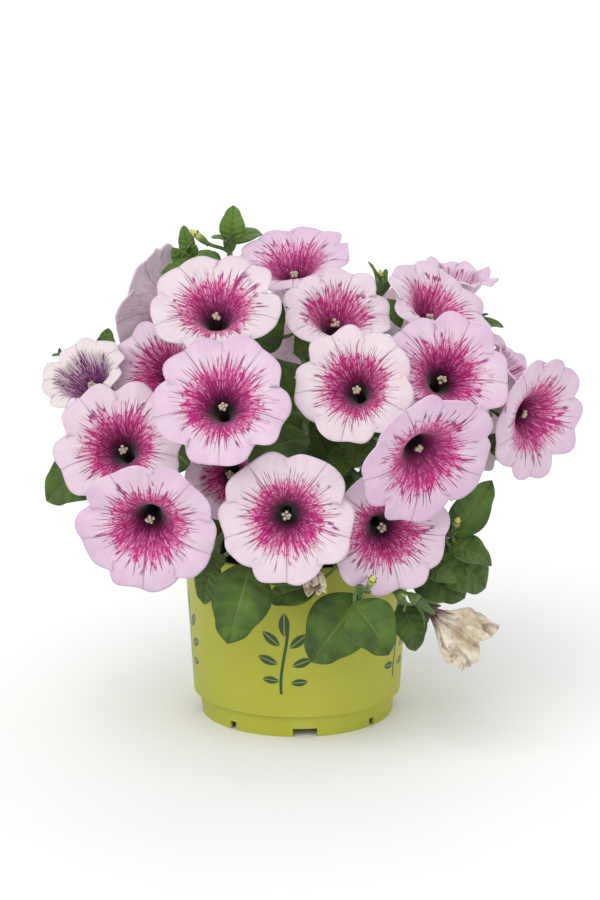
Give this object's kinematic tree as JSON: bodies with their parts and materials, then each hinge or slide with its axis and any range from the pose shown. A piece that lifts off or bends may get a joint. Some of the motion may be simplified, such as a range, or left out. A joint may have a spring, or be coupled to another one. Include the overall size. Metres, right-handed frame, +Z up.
{
  "type": "potted petunia",
  "caption": "Bushy flowering petunia with funnel-shaped, dark-throated blooms and soft oval leaves, growing from soil in a round plastic pot with a notched foot.",
  "frame": {"origin": "middle of the pot's underside, on the surface that the pot stands on", "axes": "+Z up along the pot's axis, -Y towards the side seen in the picture, +X to the right in the picture"},
  "size_m": [0.2836, 0.2572, 0.2751],
  "materials": {
    "pot_plastic": "lime-green moulded plastic with a soft sheen",
    "potting_soil": "dark, moist, crumbly potting soil",
    "green_shoot": "velvety green leaves and sticky hairy stems",
    "petal": "pale pink petal with dark magenta veins round a near-black throat",
    "withered_petal": "dry, crumpled, cream and brown withered petal"
  },
  "bodies": {
    "root": {"pot": "pot_plastic", "soil": "potting_soil", "shoot_top_left": "green_shoot", "shoot_crown_left": "green_shoot", "shoot_crown_right": "green_shoot", "shoot_right_top": "green_shoot", "shoot_left_top": "green_shoot", "shoot_left_low": "green_shoot", "shoot_front_mid": "green_shoot", "shoot_front_low": "green_shoot", "shoot_front_low_left": "green_shoot", "shoot_front_low_right": "green_shoot", "shoot_right_low": "green_shoot", "shoot_right_mid": "green_shoot", "shoot_back_top": "green_shoot", "shoot_back_left": "green_shoot", "shoot_back_mid": "green_shoot", "shoot_back_right": "green_shoot", "shoot_left_back": "green_shoot", "shoot_left_side": "green_shoot", "shoot_right_side": "green_shoot", "shoot_back_low": "green_shoot", "shoot_back_low_left": "green_shoot", "shoot_back_low_right": "green_shoot", "bloom_01": "petal", "bloom_02": "petal", "bloom_03": "petal", "bloom_04": "petal", "bloom_05": "petal", "bloom_06": "petal", "bloom_07": "petal", "bloom_08": "petal", "bloom_09": "petal", "bloom_10": "petal", "bloom_11": "petal", "bloom_12": "petal", "bloom_13": "petal", "bloom_14": "petal", "bloom_15": "petal", "bloom_16": "petal", "bloom_17": "petal", "bloom_18": "petal", "bloom_19": "petal", "bloom_20": "petal", "bloom_21": "petal", "bloom_22": "petal", "bloom_23": "petal", "bloom_24": "petal", "bloom_25": "petal", "bloom_26": "petal", "bloom_27": "petal", "wilted_right": "withered_petal", "wilted_front": "withered_petal"}
  },
  "joints": []
}
